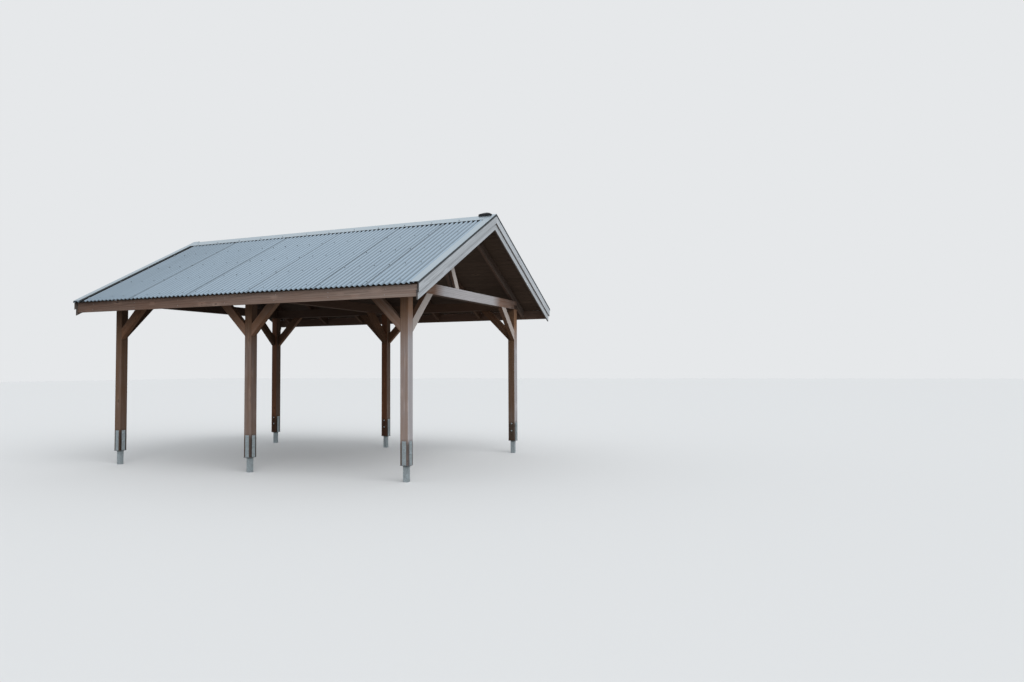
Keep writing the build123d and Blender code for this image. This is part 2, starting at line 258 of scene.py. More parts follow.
def softwood(name, brown, grey, rough=0.78, lamella=0.0, shelter=0.0, dry=0.0, inner=0.76):
    """Spruce left to weather: long fibres, growth rings, whorls of knots and a silver skin over the brown.

    Rain and sun reach the outer faces, so those are silver; the faces under the roof keep their brown.
    Fibre bundles are 4 mm wide and rings 13 mm apart, coarser than real so that they show.
    Knots are 16 to 30 mm wide.
    """
    material, tree = blank_material(name)
    grain = add(tree, "Attribute", attribute_name="grain")["Vector"]
    marks = [add(tree, "Attribute", attribute_name=mark)["Fac"] for mark in ("tone", "bare", "end", "inside")]
    tone, bare, end, inside = marks
    place = add(tree, "TexCoord")["Object"]
    sides = add(tree, "SeparateXYZ", {0: place})
    joint = None
    if lamella:
        # glued lamellas: each has its own rings, with a fine dark glue line between
        across = add(tree, "SeparateXYZ", {0: grain})["Z"]
        count = add(tree, "Math", {0: across, 1: lamella}, "DIVIDE")[0]
        whole = add(tree, "Math", {0: count}, "FLOOR")[0]
        shift = add(tree, "TexWhiteNoise", {"W": whole}, noise_dimensions="1D")["Color"]
        shifted = {0: shift, 1: (3.0, 0.25, 0.25), 2: grain}
        grain = add(tree, "VectorMath", shifted, "MULTIPLY_ADD")[0]
        part = add(tree, "Math", {0: count, 1: 0.5}, "PINGPONG")[0]
        part = {0: part, 2: 0.05, 3: 1.0, 4: 0.0}
        joint = add(tree, "MapRange", part, interpolation_type="SMOOTHSTEP")[0]
    core, swirl, ring, fibre, streak, crack = spruce_figure(tree, grain)

    # how silver: most on bare faces near the right gable, least inside
    patch = {"Vector": place, "Scale": per_metre(476.2), "Detail": 4.0, "Roughness": 0.6}
    patch = add(tree, "TexNoise", patch)["Fac"]
    along = add(tree, "MapRange", {0: sides["X"], 1: -2.9, 2: 2.6})[0]
    reach = add(tree, "MapRange", {0: along, 1: 0.3, 3: 0.4})[0]
    aged = add(tree, "Math", {0: bare, 1: reach}, "MULTIPLY")[0]
    aged = add(tree, "Math", {0: along, 1: 0.2, 2: aged}, "MULTIPLY_ADD")[0]
    if shelter:
        # the eaves keep rain and sun off the ends
        side = add(tree, "Math", {0: sides["Y"]}, "ABSOLUTE")[0]
        side = add(tree, "Math", {0: streak, 1: 0.5, 2: side}, "MULTIPLY_ADD")[0]
        open_part = add(tree, "MapRange", {0: side, 1: shelter, 2: shelter + 0.4, 3: 1.0, 4: 0.1})[0]
        aged = add(tree, "Math", {0: aged, 1: open_part}, "MULTIPLY")[0]
    if dry:
        # less rain reaches the tops of the posts
        height = add(tree, "Math", {0: streak, 1: 0.8, 2: sides["Z"]}, "MULTIPLY_ADD")[0]
        wet_part = add(tree, "MapRange", {0: height, 1: dry + 0.3, 2: dry + 0.8, 3: 1.0, 4: 0.0})[0]
        aged = add(tree, "Math", {0: aged, 1: wet_part}, "MULTIPLY")[0]
    kept = add(tree, "MapRange", {0: along, 1: 0.4, 3: -0.4, 4: -0.05})[0]
    for part, weight in ((streak, 0.9), (patch, 0.5), (inside, kept)):
        aged = add(tree, "Math", {0: part, 1: weight, 2: aged}, "MULTIPLY_ADD")[0]
    aged = add(tree, "Math", {0: aged, 1: 0.72}, "SUBTRACT", use_clamp=True)[0]
    base = add(tree, "Mix", {0: aged, 6: rgba(brown), 7: rgba(grey)}, data_type="RGBA")[2]

    # how light: the figure, then painted shade and damp towards the left end, bleaching and painted light
    # outside and painted light inside (shade where inner is below 1)
    late = add(tree, "Math", {0: ring, 1: 3.0}, "POWER")[0]
    light = add(tree, "MapRange", {0: fibre, 1: 0.3, 2: 0.7, 3: 0.88, 4: 1.1})[0]
    for part, weight in ((late, -0.2), (streak, 0.4), (tone, 0.2), (swirl, 0.3)):
        light = add(tree, "Math", {0: part, 1: weight, 2: light}, "MULTIPLY_ADD")[0]
    light = add(tree, "Math", {0: light, 1: 0.24}, "SUBTRACT")[0]
    # painted shade, with some damp: the wood is darker towards the left end
    left_shade_and_damp = add(tree, "MapRange", {0: along, 3: 0.58})[0]
    if dry:
        # the posts' inner faces get one even painted shade along the carport
        left_shade_and_damp = add(tree, "Mix", {0: inside, 2: left_shade_and_damp, 3: 0.77})[0]
    # bleaching and painted light: faces that rain and sun reach are lighter
    bleached_and_painted_light = add(tree, "MapRange", {0: bare, 3: 0.8, 4: 1.25})[0]
    # painted light on the inner faces: shade under the roof where inner is below 1, lighter where it is above
    # 1
    painted_light_inside = add(tree, "MapRange", {0: inside, 3: 1.0, 4: inner})[0]
    for part in (left_shade_and_damp, bleached_and_painted_light, painted_light_inside):
        light = add(tree, "Math", {0: light, 1: part}, "MULTIPLY")[0]
    shaded = add(tree, "VectorMath", {0: base, 1: light}, "MULTIPLY")[0]
    if dry:
        # the old stain still reddens the faces that rain never reached
        far = add(tree, "MapRange", {0: along, 1: 0.55, 2: 0.95, 3: 1.0, 4: 0.0})[0]
        red = add(tree, "Math", {0: inside, 1: far}, "MULTIPLY")[0]
        stain = add(tree, "Mix", {0: red, 6: (1, 1, 1, 1), 7: (1.25, 0.88, 0.72, 1)}, data_type="RGBA")[2]
        shaded = add(tree, "VectorMath", {0: shaded, 1: stain}, "MULTIPLY")[0]

    # dark knots, cracks, end grain, feet and glue lines
    dark = add(tree, "Math", {0: core, 1: 0.6}, "MULTIPLY")[0]
    darker = [(crack, 0.5), (end, 0.78)]
    if dry:
        # the posts' feet are darker between the shoes' straps
        darker.append((add(tree, "MapRange", {0: sides["Z"], 1: 0.46, 2: 0.54, 3: 0.62, 4: 0.0})[0], 1.0))
    if joint:
        darker.append((joint, 0.28))
    for part, weight in darker:
        dark = add(tree, "Math", {0: part, 1: weight, 2: dark}, "MULTIPLY_ADD")[0]
    dark = add(tree, "Math", {0: dark, 1: 0.86}, "MINIMUM")[0]
    colour = add(tree, "Mix", {0: dark, 6: shaded, 7: (0.02, 0.013, 0.010, 1.0)}, data_type="RGBA")[2]
    height = add(tree, "Math", {0: crack, 1: -1.6, 2: fibre}, "MULTIPLY_ADD")[0]
    height = add(tree, "Math", {0: ring, 1: 0.35, 2: height}, "MULTIPLY_ADD")[0]
    relief = add(tree, "Bump", {"Strength": 0.5, "Distance": 0.0012, "Height": height})[0]
    gloss = add(tree, "MapRange", {0: fibre, 1: 0.2, 2: 0.8, 3: rough - 0.06, 4: rough + 0.1})[0]
    surface = add(
        tree,
        "BsdfPrincipled",
        {"Base Color": colour, "Roughness": gloss, "Normal": relief, "IOR": 1.45, "Specular IOR Level": 0.35},
    )[0]
    add(tree, "OutputMaterial", {"Surface": surface})
    return material


def zinc_sheet(name, colour, rough=0.36, dirt=0.5, cap_edge=0.0):
    """Rolled steel sheet with an aluminium-zinc skin, dulled by years outdoors.

    Bare metal: it mirrors the bright light overhead, and its upright faces mirror the dim surroundings.
    Dust lies in runs 15 to 40 mm wide down the slope; dirt and painted shadow darken the laps, and painted
    shade the folded legs, the troughs, a band below the cap's edge and the left end.
    """
    material, tree = blank_material(name)
    run = add(tree, "Attribute", attribute_name="grain")["Vector"]
    tone, dirt_and_painted_shade = [add(tree, "Attribute", attribute_name=mark)["Fac"] for mark in ("tone", "dirt_and_painted_shade")]
    place = add(tree, "TexCoord")["Object"]
    long_run = add(tree, "VectorMath", {0: run, 1: stretched(1250.0, 38.46)}, "MULTIPLY")[0]
    runs = add(tree, "TexNoise", {"Vector": long_run, "Scale": 1.0, "Detail": 4.0, "Roughness": 0.6})["Fac"]
    cloud = {"Vector": place, "Scale": per_metre(909.0), "Detail": 5.0, "Roughness": 0.55}
    cloud = add(tree, "TexNoise", cloud)["Fac"]
    spangle = add(tree, "TexVoronoi", {"Vector": place, "Scale": per_metre(3.846)})["Distance"]
    grit = {"Vector": place, "Scale": per_metre(22.22), "Detail": 3.0, "Roughness": 0.7}
    grit = add(tree, "TexNoise", grit)["Fac"]
    grit = add(tree, "MapRange", {0: grit, 1: 0.62, 2: 0.72})[0]
    light = add(tree, "MapRange", {0: runs, 1: 0.25, 2: 0.75, 3: 1.0 - 0.16 * dirt, 4: 1.0 + 0.12 * dirt})[0]
    for part, weight in ((cloud, 0.3 * dirt), (tone, 0.08), (grit, -0.3 * dirt)):
        light = add(tree, "Math", {0: part, 1: weight, 2: light}, "MULTIPLY_ADD")[0]
    light = add(tree, "Math", {0: light, 1: 0.04 + 0.15 * dirt}, "SUBTRACT")[0]
    if cap_edge:
        # silt and painted shade along the troughs, and painted shade 50 mm down from the edge of the ridge
        # cap
        parts = add(tree, "SeparateXYZ", {0: run})
        trough_silt_and_shade = add(tree, "MapRange", {0: parts["Z"], 1: 0.003, 2: 0.014, 3: 0.54})[0]
        band = {0: parts["X"], 1: cap_edge + 0.012, 2: cap_edge + 0.048, 3: 1.0, 4: 0.0}
        band = add(tree, "MapRange", band)[0]
        trough = add(tree, "MapRange", {0: parts["Z"], 1: 0.004, 2: 0.011, 3: 1.0, 4: 0.0})[0]
        dirt_and_painted_shade = add(tree, "Math", {0: band, 1: trough, 2: dirt_and_painted_shade}, "MULTIPLY_ADD", use_clamp=True)[0]
        # painted shade: the sheets are darker towards the left end
        far = add(tree, "SeparateXYZ", {0: place})["X"]
        far = add(tree, "MapRange", {0: far, 1: -2.9, 2: 0.2, 3: 0.80})[0]
        for part in (trough_silt_and_shade, far):
            light = add(tree, "Math", {0: light, 1: part}, "MULTIPLY")[0]
    light = add(tree, "Math", {0: dirt_and_painted_shade, 1: -0.86, 2: light}, "MULTIPLY_ADD", use_clamp=True)[0]
    shaded = add(tree, "VectorMath", {0: tuple(colour), 1: light}, "MULTIPLY")[0]
    gloss = add(tree, "MapRange", {0: cloud, 1: 0.3, 2: 0.7, 3: rough - 0.04, 4: rough + 0.06})[0]
    gloss = add(tree, "Math", {0: dirt_and_painted_shade, 1: 0.4, 2: gloss}, "MULTIPLY_ADD")[0]
    metal = add(tree, "Math", {0: dirt_and_painted_shade, 1: -0.8, 2: 1.0}, "MULTIPLY_ADD", use_clamp=True)[0]
    relief = add(tree, "Bump", {"Strength": 0.1, "Distance": 0.0002, "Height": spangle})[0]
    sockets = {"Base Color": shaded, "Roughness": gloss, "Metallic": metal, "Normal": relief}
    surface = add(tree, "BsdfPrincipled", sockets)[0]
    add(tree, "OutputMaterial", {"Surface": surface})
    return material


def galvanised_steel(name, colour):
    """Hot-dip galvanised steel plate: dull grey zinc with 10 mm crystals and a white bloom."""
    material, tree = blank_material(name)
    place = add(tree, "TexCoord")["Object"]
    crystal = add(tree, "TexVoronoi", {"Vector": place, "Scale": per_metre(10.526)})["Color"]
    grey = add(tree, "RGBToBW", {0: crystal})[0]
    bloom = {"Vector": place, "Scale": per_metre(71.43), "Detail": 4.0, "Roughness": 0.6}
    bloom = add(tree, "TexNoise", bloom)["Fac"]
    light = add(tree, "MapRange", {0: grey, 1: 0.2, 2: 0.8, 3: 0.86, 4: 1.12})[0]
    light = add(tree, "Math", {0: bloom, 1: 0.3, 2: light}, "MULTIPLY_ADD")[0]
    light = add(tree, "Math", {0: light, 1: 0.15}, "SUBTRACT")[0]
    # painted shadow under the base plate, 208 mm up
    height = add(tree, "SeparateXYZ", {0: place})["Z"]
    dirt = add(tree, "Math", {0: height, 1: 0.2, 2: 0.012}, "COMPARE")[0]
    light = add(tree, "Math", {0: dirt, 1: -0.5, 2: light}, "MULTIPLY_ADD")[0]
    shaded = add(tree, "VectorMath", {0: colour, 1: light}, "MULTIPLY")[0]
    gloss = add(tree, "MapRange", {0: grey, 1: 0.2, 2: 0.8, 3: 0.42, 4: 0.58})[0]
    surface = add(tree, "BsdfPrincipled", {"Base Color": shaded, "Metallic": 0.7, "Roughness": gloss})[0]
    add(tree, "OutputMaterial", {"Surface": surface})
    return material


def satin_coat(name, colour, rough, metallic=0.0):
    """A small painted or moulded part: one colour under a thin film of dust that breaks its gloss."""
    material, tree = blank_material(name)
    place = add(tree, "TexCoord")["Object"]
    dust = add(tree, "TexNoise", {"Vector": place, "Scale": per_metre(25.0), "Detail": 3.0})["Fac"]
    light = add(tree, "MapRange", {0: dust, 1: 0.3, 2: 0.7, 3: 0.85, 4: 1.25})[0]
    shaded = add(tree, "VectorMath", {0: colour, 1: light}, "MULTIPLY")[0]
    gloss = add(tree, "MapRange", {0: dust, 1: 0.3, 2: 0.7, 3: rough - 0.05, 4: rough + 0.12})[0]
    surface = add(tree, "BsdfPrincipled", {"Base Color": shaded, "Metallic": metallic, "Roughness": gloss})[0]
    add(tree, "OutputMaterial", {"Surface": surface})
    return material


def finish(name):
    """The carport's materials, each made once and then shared."""
    found = bpy.data.materials.get(name)
    if found:
        return found
    c = bpy.context.scene.carport_colours
    lamella = bpy.context.scene.carport_sizes.lamella
    makers = {
        # inner: painted light on the inner faces, shade below 1 and lighter above 1
        "glulam_posts": lambda: softwood(name, c.post, c.post_grey, lamella=lamella, dry=1.75),
        "stained_braces": lambda: softwood(name, c.brace, c.brace_grey, inner=0.55),
        "glulam_beams": lambda: softwood(name, c.beam, c.beam_grey, lamella=lamella, shelter=0.95),
        "sawn_rafters": lambda: softwood(name, c.rafter, c.brace_grey, inner=1.25),
        "sawn_boarding": lambda: softwood(name, c.boarding, c.boarding, inner=1.25),
        "planed_fascia": lambda: softwood(name, c.fascia, c.fascia_grey, rough=0.7),
        "planed_verges": lambda: softwood(name, c.verge, c.verge_grey, rough=0.7),
        "zinc_sheets": lambda: zinc_sheet(name, c.sheet, 0.36, 0.5, CAP_EDGE),
        "zinc_flashings": lambda: zinc_sheet(name, c.flashing, 0.34, 0.2),
        "galvanised_shoes": lambda: galvanised_steel(name, c.zinc),
        "black_vent": lambda: satin_coat(name, c.vent, 0.45),
        "screw_heads": lambda: satin_coat(name, c.screw, 0.42, 0.45),
        "black_rubber": lambda: satin_coat(name, c.rubber, 0.8),
    }
    return makers[name]()


def placed(name, data):
    """A new object in the scene."""
    thing = bpy.data.objects.new(name, data)
    bpy.context.scene.collection.objects.link(thing)
    return thing


def placed_mesh(name, bm, materials):
    """The bmesh as an object with its materials."""
    mesh = bpy.data.meshes.new(name)
    bm.to_mesh(mesh)
    bm.free()
    for material in materials:
        mesh.materials.append(material)
    return placed(name, mesh)


def show(bm, name, materials, slot, *nodes):
    """Turns a bmesh into a piece of the carport that rides with the frame."""
    piece = placed_mesh(name, bm, materials)
    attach(piece, "root")
    if nodes:
        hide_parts(*nodes)
    return piece


def clean_solid(node):
    """The node's solid as flat many-sided faces, joined at their edges."""
    bm = bmesh.new()
    bm.from_mesh(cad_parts[node].data)
    bmesh.ops.remove_doubles(bm, verts=bm.verts, dist=1e-5)
    bmesh.ops.dissolve_limit(bm, angle_limit=math.radians(0.5), verts=bm.verts, edges=bm.edges, delimit=set())
    return bm


def middle(verts):
    """The mean place of some vertices."""
    return sum((vert.co for vert in verts), Vector()) / len(verts)


def islands(bm):
    """Groups of vertices that hang together, always in the same order."""
    left = set(bm.verts)
    groups = []
    while left:
        group, ends = [], [left.pop()]
        while ends:
            vert = ends.pop()
            group.append(vert)
            for edge in vert.link_edges:
                other = edge.other_vert(vert)
                if other in left:
                    left.discard(other)
                    ends.append(other)
        groups.append(group)
    return sorted(groups, key=lambda group: middle(group).dot(ASKEW))


def timber_axes(verts):
    """Fibre direction and the normal of the widest face of one timber."""
    edges = {edge for vert in verts for edge in vert.link_edges}
    length = max(edge.calc_length() for edge in edges) - 0.0001
    longest = max((e for e in edges if e.calc_length() > length), key=lambda e: middle(e.verts).dot(ASKEW))
    start, end = sorted((vert.co for vert in longest.verts), key=ASKEW.dot)
    fibre = (end - start).normalized()
    faces = {face for vert in verts for face in vert.link_faces}
    along = [f for f in faces if abs(f.normal.dot(fibre)) < 0.1]
    area = max(face.calc_area() for face in along) - 0.00001
    wide = max((f for f in along if f.calc_area() > area), key=lambda f: f.normal.dot(OUTWARD))
    return fibre, wide.normal.copy()


def weathered(centre, normal):
    """How far rain and sun reach a face: outer gable faces most, eaves sides less, inner faces not at all."""
    if centre.x > RIGHT_GABLE and normal.x > 0.3:
        return 1.12
    if centre.x < LEFT_GABLE and normal.x < -0.3:
        return 0.55
    if abs(centre.y) > EAVES and normal.y * centre.y > 0.5:
        return 0.34
    if abs(centre.y) > POST_ROW and normal.x > 0.5 and centre.z < POST_TOP:
        return 0.35
    return 0.0


class Marks:
    """The values that a piece's material reads: fibre, tone, weathering, end grain and inner faces."""

    def __init__(self, bm):
        self.grain = bm.verts.layers.float_vector.new("grain")
        self.tone = bm.verts.layers.float.new("tone")
        self.bare = bm.faces.layers.float.new("bare")
        self.end = bm.faces.layers.float.new("end")
        self.inside = bm.faces.layers.float.new("inside")

    def write(self, verts, fibre, normal, home, tone, exposed):
        centre = middle(verts)
        across = fibre.cross(normal)
        for vert in verts:
            rel = vert.co - centre
            vert[self.grain] = Vector((rel.dot(fibre), rel.dot(across), rel.dot(normal))) + home
            vert[self.tone] = tone
        for face in {face for vert in verts for face in vert.link_faces}:
            reached = weathered(face.calc_center_median(), face.normal)
            face[self.end] = min(1.0, max(0.0, abs(face.normal.dot(fibre)) - 0.6) / 0.15)
            face[self.bare] = exposed * reached
            face[self.inside] = float(reached == 0.0)


def soften(bm, width, segments=2, angle=20):
    """Rounds the sharp edges."""
    sharp = [e for e in bm.edges if len(e.link_faces) == 2 and e.calc_face_angle() > math.radians(angle)]
    bmesh.ops.bevel(
        bm, geom=sharp, offset=width, segments=segments, profile=0.6, affect="EDGES", clamp_overlap=True
    )


def timber(material, slot, node, arris=None, glued=False, exposed=1.0):
    """A node's timbers with softened arrises and their own fibre direction, in place of the plain ones."""
    sizes = bpy.context.scene.carport_sizes
    chance = random.Random(node)
    bm = clean_solid(node)
    known = []
    for group in islands(bm):
        turn = chance.uniform(0, 6.3)
        pith = 0.0 if glued else chance.uniform(0.03, 0.08)
        lift = sizes.lamella * 1.5 if glued else pith * math.sin(turn)
        home = Vector((chance.uniform(0, 9), pith * math.cos(turn), lift))
        known.append((middle(group), *timber_axes(group), home, chance.random()))
    soften(bm, sizes.arris if arris is None else arris)
    marks = Marks(bm)
    for group in islands(bm):
        centre = middle(group)
        _, fibre, normal, home, tone = min(known, key=lambda k: (k[0] - centre).length)
        marks.write(group, fibre, normal, home, tone, exposed)
    return show(bm, node + "_wood", [material], slot, node)


def steel(material, slot, node, edge, painted_leg_shade=0.0):
    """A node's steel with softened edges, its direction for the rain's runs and painted shade on its folded
    legs.
    """
    chance = random.Random(node)
    bm = clean_solid(node)
    soften(bm, edge, 1)
    marks = Marks(bm)
    dirt_and_painted_shade = bm.faces.layers.float.new("dirt_and_painted_shade")
    for group in islands(bm):
        marks.write(group, *timber_axes(group), Vector((chance.uniform(0, 9), 0, 0)), chance.random(), 0.0)
    # painted shade on the faces turned to the sides: the folded legs
    for face in bm.faces:
        face[dirt_and_painted_shade] = painted_leg_shade * float(abs(face.normal.x) > 0.7)
    return show(bm, node + "_steel", [material], slot, node)


def turned(bm, place, profile, sides, slot=0):
    """A turned or many-sided part on place's Z axis; the profile lists radius and height from its foot."""
    rings = []
    for radius, height in profile:
        ring = []
        for k in range(sides):
            turn = 2 * math.pi * k / sides
            point = Vector((radius * math.cos(turn), radius * math.sin(turn), height))
            ring.append(bm.verts.new(place @ point))
        rings.append(ring)
    faces = [bm.faces.new(rings[0][::-1]), bm.faces.new(rings[-1])]
    for low, high in zip(rings, rings[1:]):
        for k in range(sides):
            near = (k + 1) % sides
            faces.append(bm.faces.new((low[k], low[near], high[near], high[k])))
    for face in faces:
        face.material_index = slot


def facing(point, direction, twist=0.0):
    """A frame at a point whose Z axis looks along a direction."""
    return (
        Matrix.Translation(point)
        @ Vector(direction).to_track_quat("Z", "Y").to_matrix().to_4x4()
        @ Matrix.Rotation(twist, 4, "Z")
    )


def slope_point(x, distance, level, side):
    """A point on a slope: distance from the ridge in plan, level square to the rafters' top."""
    return Vector((x, side * distance, RIDGE_Z - distance * math.tan(SLOPE) + level / math.cos(SLOPE)))


class CARPORT_OT_stage(Operator):
    """Pale floor and background, soft light and the camera"""

    bl_idname = "carport.stage"
    bl_label = "Stage"

    def execute(self, context):
        colours = context.scene.carport_colours
        scene = context.scene
        bm = bmesh.new()
        bmesh.ops.create_grid(bm, x_segments=8, y_segments=8, size=90.0)
        # the floor is pale to the camera and gives back less light than it shows
        material, tree = blank_material("painted_floor")
        eye_ray = add(tree, "LightPath")["Is Camera Ray"]
        tints = {0: eye_ray, 6: rgba(colours.bounce), 7: rgba(colours.floor)}
        tint = add(tree, "Mix", tints, data_type="RGBA")[2]
        surface = add(tree, "BsdfPrincipled", {"Base Color": tint, "Roughness": 0.9})[0]
        add(tree, "OutputMaterial", {"Surface": surface})
        placed_mesh("studio_floor", bm, [material])

        world = bpy.data.worlds.new("studio")
        scene.world = world
        world.use_nodes = True
        tree = world.node_tree
        tree.nodes.clear()
        path = add(tree, "LightPath")
        shown = add(tree, "Background", {"Color": rgba(colours.backdrop), "Strength": 1.0})[0]
        # shiny faces mirror bright light overhead and dim surroundings at eye level
        high = add(tree, "SeparateXYZ", {0: add(tree, "TexCoord")["Generated"]})["Z"]
        high = add(tree, "MapRange", {0: high, 1: 0.05, 2: 0.65}, interpolation_type="SMOOTHSTEP")[0]
        tints = {0: high, 6: rgba(colours.level), 7: rgba(colours.overhead)}
        seen = add(tree, "Mix", tints, data_type="RGBA")[2]
        mirrored = add(tree, "Background", {"Color": seen, "Strength": 1.0})[0]
        lit = add(tree, "Background", {"Color": (0.95, 0.98, 1.0, 1.0), "Strength": 0.72})[0]
        both = add(tree, "MixShader", {0: path["Is Glossy Ray"], 1: lit, 2: mirrored})[0]
        both = add(tree, "MixShader", {0: path["Is Camera Ray"], 1: both, 2: shown})[0]
        add(tree, "OutputWorld", {"Surface": both})

        lamp = bpy.data.lights.new("key_light", "SUN")
        lamp.energy = 2.1
        lamp.angle = math.radians(60)
        holder = placed("key_light", lamp)
        holder.rotation_euler = Vector((-0.68, 0.44, -0.60)).to_track_quat("-Z", "Y").to_euler()
        holder.visible_glossy = False

        scene.view_settings.view_transform = "Standard"
        lens = bpy.data.cameras.new("camera")
        lens.lens = LENS
        lens.sensor_width = 36.0
        lens.clip_end = 400.0
        eye = placed("camera", lens)
        ahead = Vector((-math.sin(TURN) * math.cos(TILT), math.cos(TURN) * math.cos(TILT), math.sin(TILT)))
        right = ahead.cross(Vector((0, 0, 1))).normalized()
        up = right.cross(ahead)
        right, up = (
            right * math.cos(ROLL) + up * math.sin(ROLL),
            up * math.cos(ROLL) - right * math.sin(ROLL),
        )
        axes = Matrix((right, up, -ahead)).transposed().to_4x4()
        eye.matrix_world = Matrix.Translation(EYE) @ axes
        scene.camera = eye
        return {"FINISHED"}


class CARPORT_OT_posts(Operator):
    """Six glulam posts"""

    bl_idname = "carport.posts"
    bl_label = "Posts"

    def execute(self, context):
        for row in ROWS:
            for side in SIDES:
                node = f"post_{row}_{side}"
                timber(finish("glulam_posts"), "post_timber", node, arris=0.0012, glued=True)
        return {"FINISHED"}


class CARPORT_OT_shoes(Operator):
    """Galvanised post shoes with their bolts and coach screws"""

    bl_idname = "carport.shoes"
    bl_label = "Shoes"

    def execute(self, context):
        size = context.scene.carport_sizes.bolt
        head = size * 0.92
        hexagon = [(head * 0.94, 0.0), (head, 0.001), (head, size * 0.55), (head * 0.9, size * 0.64)]
        washer = [(size, -WASHER), (size, 0.0003)]
        thread = [(size / 2, 0.0), (size / 2, size * 0.95), (size * 0.42, size * 1.05)]
        for row, out in ROWS.items():
            for side in SIDES:
                node = f"shoe_{row}_{side}"
                steel(finish("galvanised_shoes"), "shoe_steel", node, 0.0008)
                low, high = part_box(f"post_{row}_{side}")
                x, y = (low.x + high.x) / 2, (low.y + high.y) / 2
                reach = (high.x - low.x) / 2 + STRAP
                chance = random.Random(node)
                bm = bmesh.new()
                for z in BOLT_HEIGHTS:
                    for face in ((1, 0, 0), (-1, 0, 0), (0, out, 0), (0, -out, 0)):
                        # no strap on the inner face
                        inner = face[1] == -out
                        far = reach - STRAP * inner
                        lift = BOLT_STAGGER * abs(face[1])
                        point = Vector((x + face[0] * far, y + face[1] * far, z + lift))
                        place = facing(point, face, chance.uniform(0, 1.0))
                        lifted = place @ Matrix.Translation((0, 0, WASHER))
                        turned(bm, lifted, washer, 20)
                        turned(bm, lifted, hexagon, 6)
                        if face[0] < 0 or inner:
                            turned(bm, lifted, thread, 14)
                show(bm, f"bolts_{row}_{side}", [finish("galvanised_shoes")], "shoe_steel")
        return {"FINISHED"}


class CARPORT_OT_beams(Operator):
    """Eave beams and tie beams"""

    bl_idname = "carport.beams"
    bl_label = "Beams"

    def execute(self, context):
        for node in [f"eave_beam_{row}" for row in ROWS] + [f"tie_beam_{side}" for side in SIDES]:
            timber(finish("glulam_beams"), "beam_timber", node, glued=True)
        return {"FINISHED"}


class CARPORT_OT_braces(Operator):
    """Knee braces along the eaves and under the tie beams"""

    bl_idname = "carport.braces"
    bl_label = "Braces"

    def execute(self, context):
        nodes = [f"braces_{row}_{side}_bay" for row in ROWS for side in GABLES]
        for node in nodes + [f"tie_braces_{side}" for side in SIDES]:
            exposed = 0.7 if "tie" in node else 0.45
            timber(finish("stained_braces"), "brace_timber", node, exposed=exposed)
        return {"FINISHED"}


class CARPORT_OT_rafters(Operator):
    """Rafters, struts and ridge board"""

    bl_idname = "carport.rafters"
    bl_label = "Rafters"

    def execute(self, context):
        nodes = [f"truss_rafters_{side}" for side in SIDES]
        nodes += [f"common_rafters_{side}_bay" for side in GABLES]
        for node in nodes + ["ridge_board"]:
            timber(finish("sawn_rafters"), "rafter_timber", node, exposed=0.1)
        timber(finish("sawn_rafters"), "rafter_timber", "truss_struts")
        return {"FINISHED"}


class CARPORT_OT_boarding(Operator):
    """Single tongued boards under the sheets, butted end to end on the rafters"""

    bl_idname = "carport.boarding"
    bl_label = "Boarding"

    def execute(self, context):
        cover = context.scene.carport_sizes.board_cover
        tan = math.tan(SLOPE)
        for row, side in ROWS.items():
            node = f"roof_boards_{row}"
            low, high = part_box(node)
            edge = max(-low.y, high.y)
            run = edge / math.cos(SLOPE)
            chance = random.Random(node)
            down = Vector((0, side * math.cos(SLOPE), -math.sin(SLOPE)))
            up = Vector((0, side * math.sin(SLOPE), math.cos(SLOPE)))
            bm = bmesh.new()
            marks = Marks(bm)
            boards = []
            for n in range(math.ceil(run / cover)):
                start, stop = n * cover + BOARD_JOINT, min((n + 1) * cover - BOARD_JOINT, run)
                # the first board is cut plumb at the ridge
                cut = 0.0
                if n == 0:
                    start += RIDGE_GAP
                    cut = BOARD_TOP * tan
                profile = (
                    (start + BOARD_GROOVE, 0.0),
                    (stop - BOARD_GROOVE, 0.0),
                    (stop, BOARD_GROOVE),
                    (stop, BOARD_TOP),
                    (start + cut, BOARD_TOP),
                    (start, BOARD_GROOVE),
                )
                k = len(profile)
                breaks = sorted(chance.sample(BOARD_STOPS, 1 if n % 3 else 2))
                ends = [low.x, *breaks, high.x]
                for left, right in zip(ends, ends[1:]):
                    left += BOARD_JOINT if left > low.x else 0.0
                    right -= BOARD_JOINT if right < high.x else 0.0
                    loops = [
                        [bm.verts.new(Vector((x, 0, RIDGE_Z)) + down * a + up * b) for a, b in profile]
                        for x in (left, right)
                    ]
                    for i in range(k):
                        near = (i + 1) % k
                        bm.faces.new((loops[0][i], loops[0][near], loops[1][near], loops[1][i]))
                    bm.faces.new(loops[0])
                    bm.faces.new(loops[1][::-1])
                    boards.append(loops[0] + loops[1])
            bmesh.ops.recalc_face_normals(bm, faces=bm.faces)
            for verts in boards:
                home = Vector((chance.uniform(0, 9), chance.uniform(0.02, 0.06), chance.uniform(-0.04, 0.04)))
                marks.write(verts, Vector((1, 0, 0)), up, home, chance.random(), 0.0)
            # the boards' edges along the eaves are drawn as dark as end grain
            for face in bm.faces:
                if face.normal.dot(down) > 0.9 and abs(face.calc_center_median().y) > edge - 0.03:
                    face[marks.end] = 1.0
            show(bm, node + "_wood", [finish("sawn_boarding")], "board_timber", node)
        return {"FINISHED"}


